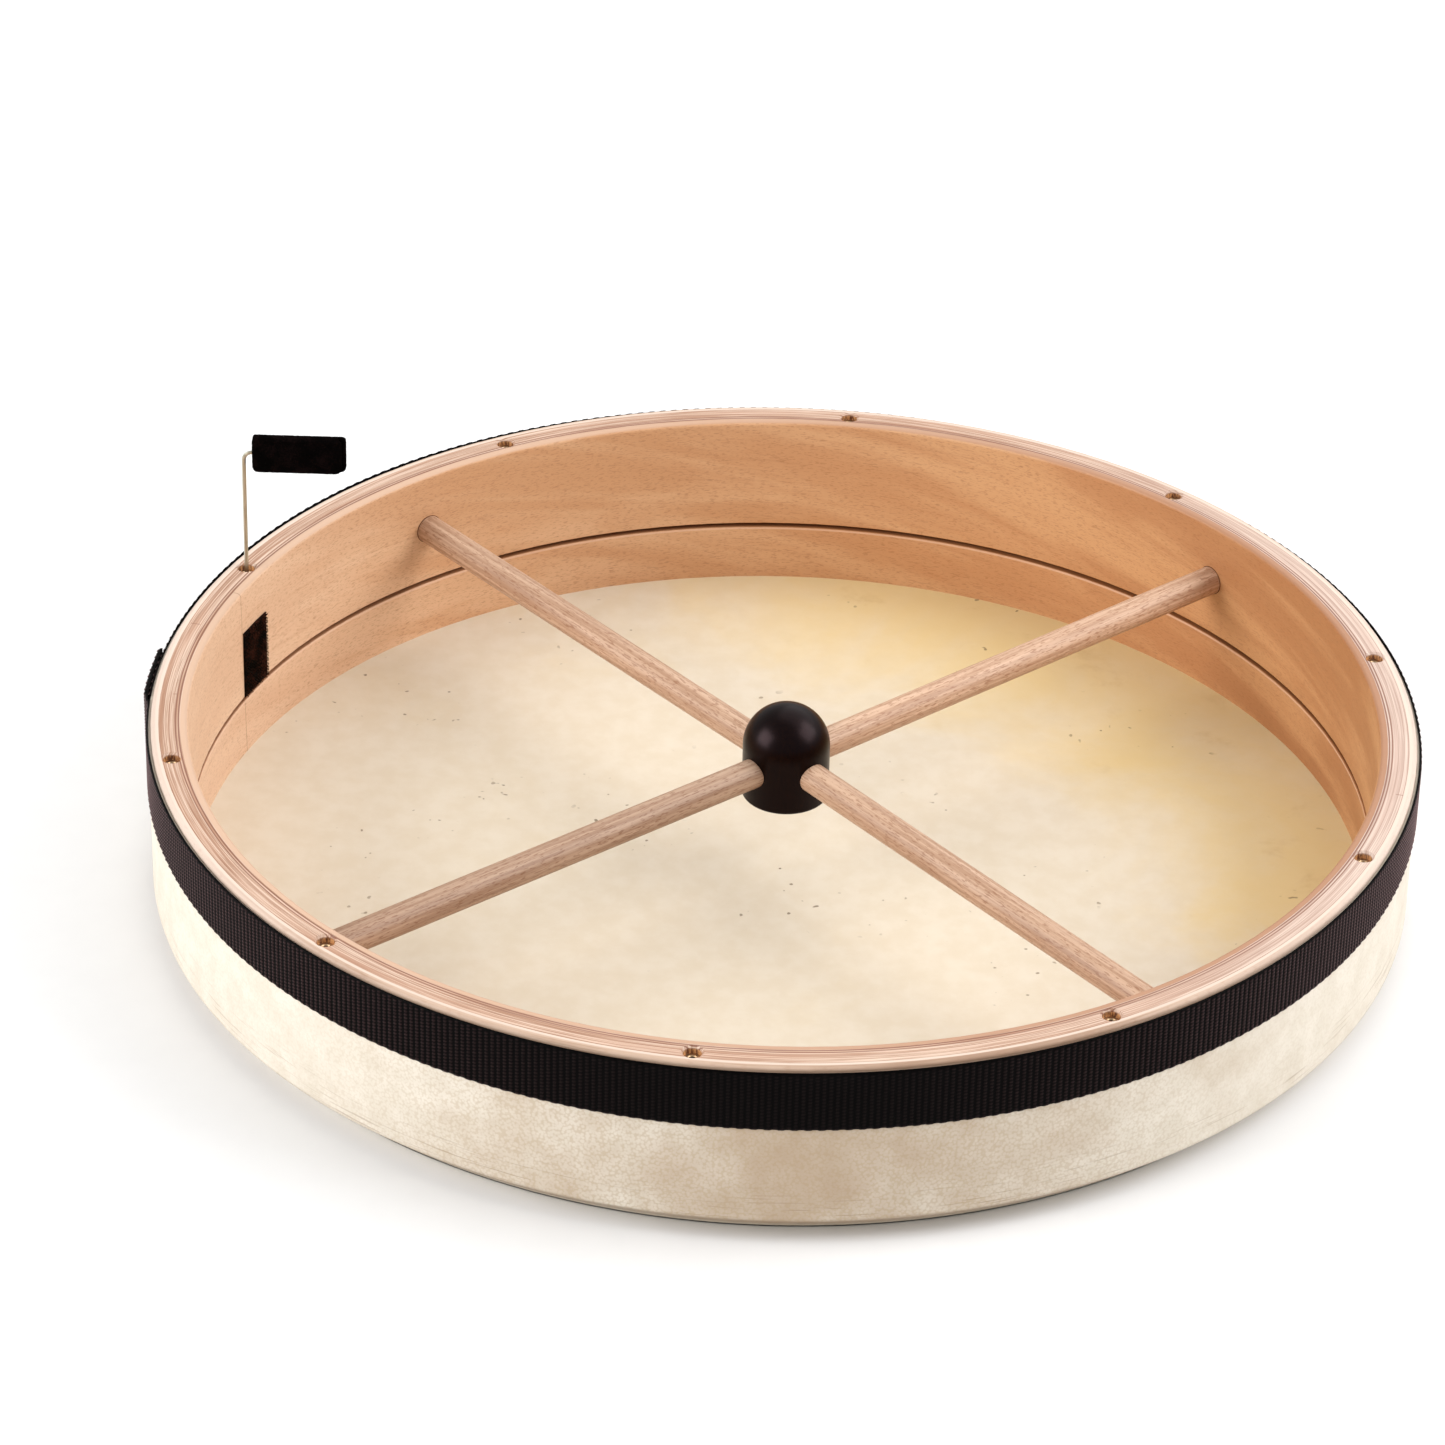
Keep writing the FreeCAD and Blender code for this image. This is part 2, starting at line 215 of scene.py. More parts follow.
class Look:
    """A material's node tree, with short ways to add to it."""

    def __init__(self, name, constants):
        self.material = bpy.data.materials.new(name)
        self.material.use_nodes = True
        self.tree = self.material.node_tree
        self.shader = self.tree.nodes["Principled BSDF"]
        self.normal = None
        for socket, value in constants.items():
            self.shader.inputs[socket].default_value = value

    def add(self, kind, inputs, output=0, **settings):
        node = self.tree.nodes.new("ShaderNode" + kind)
        for setting, value in settings.items():
            setattr(node, setting, value)
        for socket, value in inputs.items():
            if isinstance(value, bpy.types.NodeSocket):
                self.tree.links.new(value, node.inputs[socket])
            else:
                node.inputs[socket].default_value = value
        return node.outputs[output]

    def math(self, operation, *values):
        return self.add("Math", dict(enumerate(values)), operation=operation)

    def product(self, first, second):
        return self.math("MULTIPLY", first, second)

    def vector_math(self, operation, output, *values):
        return self.add("VectorMath", dict(enumerate(values)), output, operation=operation)

    def place(self):
        return self.add("TexCoord", {}, "Object")

    def axes(self, names):
        """These coordinates of the place."""
        return [self.add("SeparateXYZ", {0: self.place()}, name) for name in names]

    def join(self, x, y, z):
        return self.add("CombineXYZ", {0: x, 1: y, 2: z})

    def noise(self, vector, scale=1.0, detail=3.0, roughness=0.55, distortion=0.0):
        sockets = {"Vector": vector, "Scale": scale, "Detail": detail, "Roughness": roughness}
        return self.add("TexNoise", {**sockets, "Distortion": distortion})

    def axis_noise(self, scales, detail):
        """Noise with its own scale on each axis."""
        return self.noise(self.vector_math("MULTIPLY", "Vector", self.place(), scales), detail=detail)

    def step(self, value, low, high):
        """0 below low, 1 above high."""
        sockets = {"Value": value, "From Min": low, "From Max": high}
        return self.add("MapRange", sockets, interpolation_type="SMOOTHSTEP")

    def below(self, value, low, high):
        """1 below low, 0 above high."""
        return self.math("SUBTRACT", 1.0, self.step(value, low, high))

    def spread(self, value, low, high):
        """Straight change from low where the value is 0 to high where it is 1."""
        return self.add("MapRange", {"Value": value, "To Min": low, "To Max": high})

    def band(self, value, low, high, edge):
        """1 between low and high."""
        above = self.step(value, low - edge, low + edge)
        return self.product(above, self.below(value, high - edge, high + edge))

    def mix(self, factor, first, second):
        return self.add("Mix", {0: factor, 6: first, 7: second}, 2, data_type="RGBA")

    def cover(self, tint, mask, share, paint):
        """The tint, with this share of the paint over it where the mask is 1."""
        return self.mix(self.product(mask, share), tint, paint)

    def link(self, value, socket):
        self.tree.links.new(value, self.shader.inputs[socket])

    def paint(self, tint):
        self.link(tint, "Base Color")

    def gloss(self, roughness):
        self.link(roughness, "Roughness")

    def bump(self, height, distance, strength=1.0):
        """Adds relief on top of any relief that is there already."""
        sockets = {"Height": height, "Distance": distance, "Strength": strength}
        if self.normal:
            sockets["Normal"] = self.normal
        self.normal = self.add("Bump", sockets)
        self.link(self.normal, "Normal")


def wear(*names_and_material):
    """Gives CAD nodes one material: the last argument is the material."""
    *names, material = names_and_material
    for name in names:
        slots = nodes[name].data.materials
        for index in range(len(slots)):
            slots[index] = material


# ---------------------------------------------------------------- stage


def make_camera():
    tilt = math.radians(CAMERA_TILT)
    roll = math.radians(CAMERA_ROLL)
    forward = Vector((0, math.cos(tilt), -math.sin(tilt)))
    up = Vector((0, math.sin(tilt), math.cos(tilt)))
    right = Vector((1, 0, 0))
    x_axis = right * math.cos(roll) + up * math.sin(roll)
    y_axis = up * math.cos(roll) - right * math.sin(roll)
    camera = bpy.data.objects.new("camera", bpy.data.cameras.new("camera"))
    bpy.context.scene.collection.objects.link(camera)
    turn = Matrix((x_axis, y_axis, -forward)).transposed().to_4x4()
    place = Vector((0, 0, RIM_HEIGHT)) - forward * CAMERA_DISTANCE
    camera.matrix_world = Matrix.Translation(place) @ turn
    camera.data.lens = CAMERA_LENS
    camera.data.sensor_width = 36.0
    camera.data.shift_x, camera.data.shift_y = CAMERA_SHIFT
    camera.data.clip_end = 100.0
    bpy.context.scene.camera = camera


def make_lights():
    world = bpy.data.worlds.new("studio")
    bpy.context.scene.world = world
    world.use_nodes = True
    world.node_tree.nodes["Background"].inputs["Color"].default_value = (1, 1, 1, 1)
    world.node_tree.nodes["Background"].inputs["Strength"].default_value = WORLD_STRENGTH
    view = bpy.context.scene.view_settings
    view.view_transform = "Standard"
    view.look = "None"
    for name, place, size, power in SOFTBOXES:
        light = bpy.data.lights.new(name, "AREA")
        light.shape = "RECTANGLE"
        light.size, light.size_y = size
        light.energy = power
        lamp = bpy.data.objects.new(name, light)
        bpy.context.scene.collection.objects.link(lamp)
        aim = (Vector((0, 0, RIM_HEIGHT)) - Vector(place)).to_track_quat("-Z", "Y")
        lamp.matrix_world = Matrix.Translation(place) @ aim.to_matrix().to_4x4()


def make_floor():
    look = Look("floor_paper", {"Roughness": 0.9, "Specular IOR Level": 0.1})
    grain = look.noise(look.place(), 60.0)
    look.paint(look.mix(grain, colour(233, 233, 233), colour(237, 237, 237)))
    rings = ((0.0001, -PIT_DEPTH), (PIT_RADIUS, -PIT_DEPTH), (PIT_RADIUS, 0.0), (FLOOR_RADIUS, 0.0))
    segments = 180
    points = []
    for index in range(segments):
        points += [polar(radius, 360.0 * index / segments, height) for radius, height in rings]
    floor = new_piece("floor", points, grid_faces(segments, len(rings), closed=True), look.material)
    floor.data.shade_flat()


# ---------------------------------------------------------------- wood


def hoop_grain(look, along, across, lean=0.0):
    """Coordinates with features of these lengths, along a hoop and across its width or its plies."""
    x, y, z = look.axes("XYZ")
    radius = look.math("SQRT", look.math("ADD", look.product(x, x), look.product(y, y)))
    stretch = look.math("DIVIDE", SHELL_RADIUS / along, radius)
    level = look.math("ADD", look.math("ADD", radius, z), look.product(x, lean))
    return look.join(
        look.product(x, stretch),
        look.product(y, stretch),
        look.math("DIVIDE", level, across),
    )


def drum_radius(look):
    x, y = look.axes("XY")
    return look.vector_math("LENGTH", "Value", look.join(x, y, 0.0))


def seam(look, degrees, half_width, lean=0.0):
    """1 on a line that crosses the hoops at this angle, leaning by this much per metre of height."""
    x, y, z = look.axes("XYZ")
    direction = polar(1.0, degrees)
    off_line = look.math("SUBTRACT", look.product(x, direction.y), look.product(y, direction.x))
    off_line = look.math("ADD", off_line, look.product(look.math("SUBTRACT", z, RIM_HEIGHT), lean))
    along = look.vector_math("DOT_PRODUCT", "Value", look.place(), tuple(direction))
    line = look.band(off_line, -half_width, half_width, half_width * 0.5)
    return look.product(line, look.math("GREATER_THAN", along, 0.0))


def beech_lining_look():
    """Rotary-cut beech: faint figure, dense fine flecks, a light edge at the rim and one seam, with painted
    light on the left of the wall, painted shade on its right, and painted shade in the saw cut with a
    painted highlight below it.
    """
    look = Look("lining_beech", {"Specular IOR Level": 0.35})
    x, z = look.axes("XZ")
    cloud = look.noise(hoop_grain(look, 0.14, 0.022, lean=0.20), detail=5.0, roughness=0.6, distortion=0.5)
    line = look.noise(hoop_grain(look, 0.090, 0.0022, lean=0.10), detail=4.0, roughness=0.6, distortion=0.8)
    fleck = look.noise(hoop_grain(look, 0.0022, 0.00042), detail=1.0)
    ray = look.noise(hoop_grain(look, 0.0050, 0.00060), detail=1.0)
    # Painted light on the left of the wall: its colours go lighter towards the left.
    left = look.step(x, 0.26, -0.26)
    dark = look.mix(left, colour(188, 132, 88), colour(208, 160, 120))
    light = look.mix(left, colour(205, 153, 106), colour(221, 180, 144))
    tint = look.mix(look.step(cloud, 0.36, 0.66), dark, light)
    # Painted shade on the right of the wall: darker, warmer colours there.
    painted_right_shade = look.mix(look.step(cloud, 0.36, 0.66), colour(152, 100, 62), colour(184, 134, 92))
    tint = look.cover(tint, look.step(x, 0.10, 0.25), 0.60, painted_right_shade)
    # More painted light at the far left of the wall.
    tint = look.cover(tint, look.step(x, -0.14, -0.24), 0.50, colour(222, 192, 168))
    tint = look.cover(tint, look.step(line, 0.54, 0.74), 0.32, colour(176, 124, 86))
    tint = look.cover(tint, look.step(fleck, 0.54, 0.68), 0.36, colour(152, 98, 60))
    tint = look.cover(tint, look.step(ray, 0.66, 0.72), 0.26, colour(132, 84, 54))
    # Paler band along the rim's edge, which also takes the painted light on the left.
    edge = look.step(z, RIM_HEIGHT - 0.0010, RIM_HEIGHT - 0.0002)
    tint = look.mix(edge, tint, look.mix(left, colour(168, 122, 92), colour(204, 170, 144)))
    strip_end = seam(look, LINING_SEAM, 0.00018, LINING_SEAM_LEAN)
    tint = look.cover(tint, strip_end, 0.6, colour(120, 76, 48))
    look.paint(painted_kerf_shade_and_light(look, tint, z))
    look.gloss(look.spread(cloud, 0.36, 0.50))
    look.bump(fleck, 0.00004, 0.5)
    look.bump(line, 0.00015, 0.4)
    look.bump(strip_end, 0.0001, -1.0)
    return look.material


def painted_kerf_shade_and_light(look, tint, z):
    """The tint, with painted shade in the saw cut between the two hoops and a painted highlight on the
    ring's corner below it.
    """
    # Painted shade in the saw cut.
    cut = look.band(z, RING_TOP - 0.0002, HOOP_BOTTOM + 0.0003, 0.0002)
    tint = look.cover(tint, cut, 0.80, colour(140, 84, 44))
    # Painted highlight on the ring's corner under the cut.
    corner = look.band(z, RING_TOP - 0.0011, RING_TOP - 0.0004, 0.0002)
    return look.cover(tint, corner, 0.55, colour(228, 190, 164))


def plies_look(name):
    """Bent plywood seen on its edge: bands by radius with streaks round the drum, brown in the bores,
    painted shade in the saw cut and a painted highlight just below it.
    """
    look = Look(name, {"Specular IOR Level": 0.35})
    x, z = look.axes("XZ")
    radius = drum_radius(look)
    streak = look.noise(hoop_grain(look, 0.070, 0.00055), detail=3.0, roughness=0.65)
    thin = look.noise(hoop_grain(look, 0.030, 0.00028), detail=2.0)
    cloud = look.noise(hoop_grain(look, 0.080, 0.0030), detail=2.0)
    tint = look.mix(look.step(streak, 0.38, 0.64), colour(162, 120, 94), colour(216, 190, 170))
    tint = look.cover(tint, look.step(cloud, 0.45, 0.70), 0.4, colour(200, 160, 136))
    tint = look.cover(tint, look.step(thin, 0.55, 0.68), 0.7, colour(140, 98, 72))
    tint = look.cover(tint, look.step(x, 0.08, 0.24), 0.40, colour(212, 196, 188))
    for middle, half, strength in GLUE_LINES:
        glue = look.band(radius, middle - half, middle + half, 0.00010)
        tint = look.cover(tint, glue, strength, colour(122, 74, 52))
    for degrees, low, high in PLY_ENDS:
        step = look.product(seam(look, degrees, 0.0002), look.band(radius, low, high, 0.0001))
        tint = look.cover(tint, step, 0.7, colour(122, 74, 52))
    bore = look.step(z, RIM_HEIGHT - 0.0008, RIM_HEIGHT - 0.0016)
    drilled = look.axis_noise((1500.0, 1500.0, 260.0), 2.0)
    brown = look.mix(look.step(drilled, 0.38, 0.60), colour(104, 60, 32), colour(216, 160, 104))
    tint = look.cover(tint, bore, 0.9, brown)
    look.paint(painted_kerf_shade_and_light(look, tint, z))
    look.gloss(look.spread(streak, 0.40, 0.55))
    look.bump(streak, 0.00008, 0.5)
    return look.material


def shell_look():
    """Outer hoop: pinkish on its edge, with a pale line where it meets the plywood, painted shade on the
    front and painted light on the left and right.
    """
    look = Look("shell_beech", {"Specular IOR Level": 0.35})
    x, y, z = look.axes("XYZ")
    streak = look.noise(hoop_grain(look, 0.090, 0.0010), detail=3.0)
    fleck = look.noise(hoop_grain(look, 0.0040, 0.00050), detail=1.0)
    tint = look.mix(look.step(streak, 0.35, 0.70), colour(190, 160, 138), colour(207, 182, 163))
    tint = look.cover(tint, look.step(fleck, 0.58, 0.70), 0.4, colour(170, 130, 106))
    # Painted shade on the front of the hoop.
    shade = look.mix(look.step(streak, 0.40, 0.60), colour(150, 118, 94), colour(186, 158, 136))
    tint = look.cover(tint, look.step(y, -0.10, -0.24), 0.70, shade)
    # Painted light on the left and right sides of the hoop.
    sides = look.step(look.math("ABSOLUTE", x), 0.14, 0.25)
    tint = look.cover(tint, sides, 0.55, colour(220, 204, 192))
    pale = look.below(drum_radius(look), *PALE_EDGE)
    tint = look.cover(tint, pale, 0.8, colour(220, 200, 184))
    bore = look.step(z, RIM_HEIGHT - 0.0008, RIM_HEIGHT - 0.0016)
    look.paint(look.cover(tint, look.product(bore, pale), 0.8, colour(190, 136, 88)))
    look.gloss(look.spread(streak, 0.38, 0.50))
    look.bump(streak, 0.00006, 0.4)
    return look.material


def dowel_look(name, degrees, tone):
    """Turned beech: flecks and pores lie along the dowel."""
    look = Look(name, {"Specular IOR Level": 0.35})

    def toned(red, green, blue):
        return (*(channel * tone for channel in colour(red, green, blue)[:3]), 1.0)

    def stretched(along, across):
        turned = look.add("Mapping", {
            "Vector": look.place(),
            "Rotation": (0.0, 0.0, -math.radians(degrees)),
        })
        return look.vector_math("MULTIPLY", "Vector", turned, (1 / along, 1 / across, 1 / across))

    fleck = look.noise(stretched(0.0034, 0.00055), detail=1.0)
    grain = look.noise(stretched(0.0700, 0.00160), detail=4.0, roughness=0.65)
    tint = look.mix(look.step(grain, 0.36, 0.66), toned(168, 132, 106), toned(200, 167, 141))
    tint = look.cover(tint, look.step(fleck, 0.55, 0.66), 0.62, toned(140, 96, 68))
    look.paint(tint)
    look.gloss(look.spread(grain, 0.38, 0.52))
    look.bump(fleck, 0.00006, 0.6)
    return look.material


def hub_look():
    """Stained and polished wood, nearly black."""
    look = Look("black_hub", {"Specular IOR Level": 0.15, "Specular Tint": colour(255, 214, 220)})
    grain = look.axis_noise((900.0, 900.0, 110.0), 3.0)
    look.paint(look.mix(look.step(grain, 0.35, 0.70), colour(2, 0, 0), colour(8, 2, 0)))
    look.gloss(look.spread(grain, 0.27, 0.34))
    look.bump(grain, 0.00004, 0.4)
    return look.material


# ---------------------------------------------------------------- metal


def metal_look(name, tint, roughness, scratch):
    """Drawn metal: fine lines along its length, and a little uneven."""
    look = Look(name, {"Metallic": 1.0})
    line = look.axis_noise(scratch, 2.0)
    darker = tuple(channel * 0.72 for channel in tint[:3]) + (1.0,)
    look.paint(look.mix(look.step(line, 0.30, 0.75), darker, tint))
    look.gloss(look.spread(line, roughness - 0.08, roughness + 0.10))
    look.bump(line, 0.00003, 0.4)
    return look.material


# ---------------------------------------------------------------- hide


def rounded_path(corners, rounding_steps):
    """Points along (radius, height, rounding) corners, with each rounded corner as an arc."""
    path = [Vector(corners[0][:2])]
    for before, corner, after in zip(corners, corners[1:], corners[2:]):
        point = Vector(corner[:2])
        to_before = (Vector(before[:2]) - point).normalized()
        to_after = (Vector(after[:2]) - point).normalized()
        half_angle = to_before.angle(to_after) / 2
        inward = (to_before + to_after).normalized()
        centre = point + inward * corner[2] / math.sin(half_angle)
        start = (point + to_before * corner[2] / math.tan(half_angle) - centre).normalized()
        end = (point + to_after * corner[2] / math.tan(half_angle) - centre).normalized()
        for step in range(rounding_steps + 1):
            path.append(centre + start.slerp(end, step / rounding_steps) * corner[2])
    path.append(Vector(corners[-1][:2]))
    return path


def divided(path, longest):
    """The same path with no run longer than this."""
    points = [path[0]]
    for start, end in zip(path, path[1:]):
        count = max(1, math.ceil((end - start).length / longest))
        points += [start.lerp(end, step / count) for step in range(1, count + 1)]
    return points


def hide_sections():
    """Inner and outer side of the hide as (radius, height) points, from the middle to the glued edge."""
    inner = rounded_path((
        (HIDE_CENTRE_RADIUS, HIDE_THICKNESS),
        (BEVEL_START, HIDE_THICKNESS, BEARING_ROUNDING),
        (SHELL_RADIUS, SHELL_FOOT, FOOT_ROUNDING),
        (SHELL_RADIUS, HIDE_TOP),
    ), HIDE_ROUNDING_STEPS)
    inner = divided(inner[:2], HIDE_FACE_RUN)[:-1] + divided(inner[1:], HIDE_SIDE_RUN)
    outer = []
    for index, point in enumerate(inner):
        before = inner[max(index - 1, 0)]
        after = inner[min(index + 1, len(inner) - 1)]
        along = (after - before).normalized()
        outer.append(point + Vector((along.y, -along.x)) * HIDE_THICKNESS)
    return inner, outer


def hide_unevenness(point, height):
    """Small waves of the glued hide, none on the tight playing face."""
    wave = noise.noise(point * 55.0) * 0.00016 + noise.noise(point * 210.0) * 0.00006
    return wave * smooth(SHELL_FOOT, SHELL_FOOT + 0.012, height)


def hide_look():
    """Natural skin: cream, with yellow mottling at the back right, and brown and pebbled in front; painted
    shade darkens the front of the skirt, the grooves between the pebbles and the skirt below the crease.
    """
    look = Look("hide", {"Specular IOR Level": 0.25})
    place = look.place()
    x, y, z = look.axes("XYZ")
    patch = look.noise(place, 8.0, 6.0, 0.62, 0.5)
    mottle = look.noise(place, 26.0, 5.0, 0.62, 0.3)
    fine = look.noise(place, 90.0, 4.0, 0.6)
    speck = look.noise(place, 230.0, 1.0)
    speck_group = look.noise(place, 14.0, 1.0)
    pebble = look.add("TexVoronoi", {"Vector": place, "Scale": 850.0})
    right = look.step(look.math("ADD", look.product(x, 0.8), look.product(y, 0.5)), 0.04, 0.20)
    back = look.step(y, 0.06, 0.22)
    yellow = look.math("ADD", look.product(patch, 0.9), look.product(right, 0.42))
    yellow = look.step(look.math("ADD", yellow, look.product(back, 0.20)), 0.52, 1.00)
    face = look.mix(look.step(fine, 0.30, 0.72), colour(212, 199, 177), colour(217, 206, 187))
    face = look.cover(face, yellow, 0.75, colour(222, 194, 128))
    brown = look.product(look.step(mottle, 0.56, 0.74), look.product(yellow, 0.45))
    face = look.mix(brown, face, colour(186, 152, 100))
    spots = look.product(look.step(speck, 0.72, 0.77), look.step(speck_group, 0.52, 0.62))
    face = look.cover(face, spots, 0.75, colour(104, 84, 58))
    # Stain mottling is pushed towards the front of the skirt: partly real stain, partly painted shade on
    # the front.
    front = look.step(look.product(y, -1.0), 0.17, 0.25)
    skirt = look.mix(look.step(fine, 0.30, 0.72), colour(212, 202, 186), colour(222, 213, 199))
    stain_and_front_shade = look.math("ADD", look.product(patch, 0.6), look.product(mottle, 0.5))
    stain_and_front_shade = look.step(look.math("ADD", stain_and_front_shade, look.product(front, 0.26)), 0.58, 0.98)
    skirt = look.cover(skirt, stain_and_front_shade, 0.70, colour(166, 135, 102))
    scratch = look.noise(hoop_grain(look, 0.035, 0.0008), detail=2.0)
    low = look.below(z, 0.014, 0.030)
    streaks = look.product(look.step(scratch, 0.58, 0.70), look.product(low, 0.5))
    skirt = look.mix(streaks, skirt, colour(140, 112, 84))
    # Painted shade in the grooves between the pebbles.
    painted_pebble_shade = look.step(pebble, 0.42, 0.75)
    skirt = look.cover(skirt, painted_pebble_shade, look.spread(front, 0.12, 0.40), colour(176, 152, 118))
    # Painted shade on the skirt below the crease, where it bends under.
    painted_toe_shade = look.below(z, 0.0085, 0.0115)
    skirt = look.cover(skirt, painted_toe_shade, 0.6, colour(132, 106, 78))
    look.paint(look.mix(look.step(z, 0.0015, 0.006), face, skirt))
    look.gloss(look.spread(fine, 0.50, 0.64))
    look.bump(pebble, 0.00060, -0.8)
    look.bump(fine, 0.00040, 0.35)
    return look.material


def make_hide():
    """One skin: playing face, bend over the ring's bevel and the part glued up the shell."""
    inner, outer = hide_sections()
    outline = inner + outer[::-1]
    points = []
    for index in range(HIDE_SEGMENTS):
        degrees = 360.0 * index / HIDE_SEGMENTS
        for order, (radius, height) in enumerate(outline):
            point = polar(radius, degrees, height)
            if order >= len(inner):
                point += polar(hide_unevenness(point, height), degrees)
            points.append(point)
    faces = grid_faces(HIDE_SEGMENTS, len(outline), closed=True)
    hide = new_piece("hide", points, faces, hide_look())
    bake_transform(hide)
    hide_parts("drumhead", "drumhead_skirt")


# ---------------------------------------------------------------- webbing


def webbing_look():
    """Black woven strip: the threads that lie on top catch the light, mostly at a low angle, with painted
    light on the raised threads and on the left and right sides, and painted shade in the grooves and at the
    edges.
    """
    look = Look("webbing", {
        "Specular IOR Level": 0.04,
        "Sheen Roughness": 0.35,
        "Sheen Tint": colour(242, 198, 198),
    })
    on_top = look.step(look.add("Attribute", {}, "Fac", attribute_name="thread_height"), 0.25, 1.0)
    filament = look.noise(hoop_grain(look, 0.0040, 0.00012), detail=1.0)
    dust = look.noise(look.place(), 45.0, 3.0)
    [x] = look.axes("X")
    # Painted light on the left and right sides of the strip: its colours go lighter there.
    sides = look.step(look.math("ABSOLUTE", x), 0.03, 0.24)
    dark = look.mix(sides, colour(2, 1, 1), colour(24, 13, 13))
    light = look.mix(sides, colour(12, 7, 6), colour(62, 44, 44))
    bright = look.mix(look.step(filament, 0.30, 0.72), dark, light)
    # Painted shade keeps the grooves and edges near black; painted light makes the raised threads lighter.
    tint = look.mix(on_top, colour(1, 0, 0), bright)
    look.paint(look.cover(tint, look.step(dust, 0.45, 0.75), 0.15, colour(14, 9, 9)))
    look.link(look.spread(on_top, 0.02, 0.64), "Sheen Weight")
    look.gloss(look.spread(filament, 0.45, 0.60))
    look.bump(filament, 0.00006, 0.5)
    return look.material


def webbing_radius(degrees):
    """Radius of the strip's inner side: its first stretch lies over its end, with the tip a little off."""
    over = WEBBING_THICKNESS + WEAVE_RELIEF * 2
    lift = over * (1 - smooth(WEBBING_OVER_END, WEBBING_SETTLED, degrees))
    lift += TIP_LIFT * (1 - smooth(WEBBING_START, WEBBING_START + TIP_LENGTH, degrees))
    return SHELL_RADIUS + HIDE_THICKNESS + lift


def webbing_thickness(degrees):
    """Thickness of the strip: its first stretch is folded under."""
    folded = 1 - smooth(WEBBING_FOLD_END, WEBBING_OVER_END, degrees)
    return WEBBING_THICKNESS * (1 + WEBBING_FOLD_EXTRA * folded)


def webbing_rise(degrees):
    """The strip isn't glued at quite one height all round."""
    rise = 0.0
    for start, span, amount in WEBBING_WAVES:
        part = min(max((degrees - start) / span, 0.0), 1.0)
        rise += amount * math.sin(math.pi * part) ** 2
    return rise


def weave(column, row):
    """Height of the weave: a groove between ribs, and threads that are high on every other rib."""
    rib, step = divmod(column, WEBBING_RIB_STEPS)
    if step == 0:
        return -RIB_GROOVE
    return WEAVE_RELIEF if (rib + row) % 2 else -WEAVE_RELIEF


def make_webbing():
    """One woven strip round the top of the hide."""
    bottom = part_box("webbing_band")[0][2]
    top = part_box("webbing_band")[1][2]
    length = math.radians(WEBBING_END - WEBBING_START) * (SHELL_RADIUS + HIDE_THICKNESS)
    steps = round(length / WEBBING_RIB) * WEBBING_RIB_STEPS
    rows = WEBBING_YARNS + 1
    points = []
    tops = []
    for column in range(steps + 1):
        degrees = WEBBING_START + (WEBBING_END - WEBBING_START) * column / steps
        inside = webbing_radius(degrees)
        thickness = webbing_thickness(degrees)
        step = SELVEDGE_STEP * (1 if column // WEBBING_RIB_STEPS % 2 else -1)
        rise = webbing_rise(degrees)
        points.append(polar(inside, degrees, bottom + rise))
        tops.append(0.0)
        for row in range(rows):
            edge = row in (0, rows - 1)
            height = bottom + rise + (top - bottom) * row / (rows - 1)
            relief = 0.0 if edge else weave(column, row)
            radius = inside + thickness * (SELVEDGE_SHARE if edge else 1.0) + relief
            points.append(polar(radius, degrees, height + (step if edge else 0.0)))
            # Thread height: 0 in the grooves and at the edges, 1 on raised threads; the webbing look paints
            # shade and light from it.
            tops.append(0.0 if edge else (weave(column, row) + RIB_GROOVE) / (WEAVE_RELIEF + RIB_GROOVE))
        points.append(polar(inside, degrees, top + rise))
        tops.append(0.0)
    ring = rows + 2
    faces = grid_faces(steps + 1, ring)
    for column in range(steps):
        here = column * ring
        there = here + ring
        faces.append((here, here + ring - 1, there + ring - 1, there))
    faces.append(tuple(range(ring)))
    faces.append(tuple(range(steps * ring + ring - 1, steps * ring - 1, -1)))
    webbing = new_piece("webbing", points, faces, webbing_look())
    thread_height = webbing.data.attributes.new("thread_height", "FLOAT", "POINT")
    thread_height.data.foreach_set("value", tops)
    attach(webbing, "frame")
    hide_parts("webbing_band", "webbing_lap")


# ---------------------------------------------------------------- hook patch


def tape_look(name, low, high, roughness, thread_scale):
    """Black tape of fine threads."""
    look = Look(name, {"Specular IOR Level": 0.03})
    thread = look.noise(look.place(), thread_scale, 2.0)
    patch = look.noise(look.place(), 160.0, 2.0)
    look.paint(look.mix(look.step(look.math("ADD", thread, patch), 0.90, 1.25), low, high))
    look.gloss(look.spread(thread, roughness - 0.08, roughness + 0.08))
    look.bump(thread, 0.00008, 0.6)
    return look.material


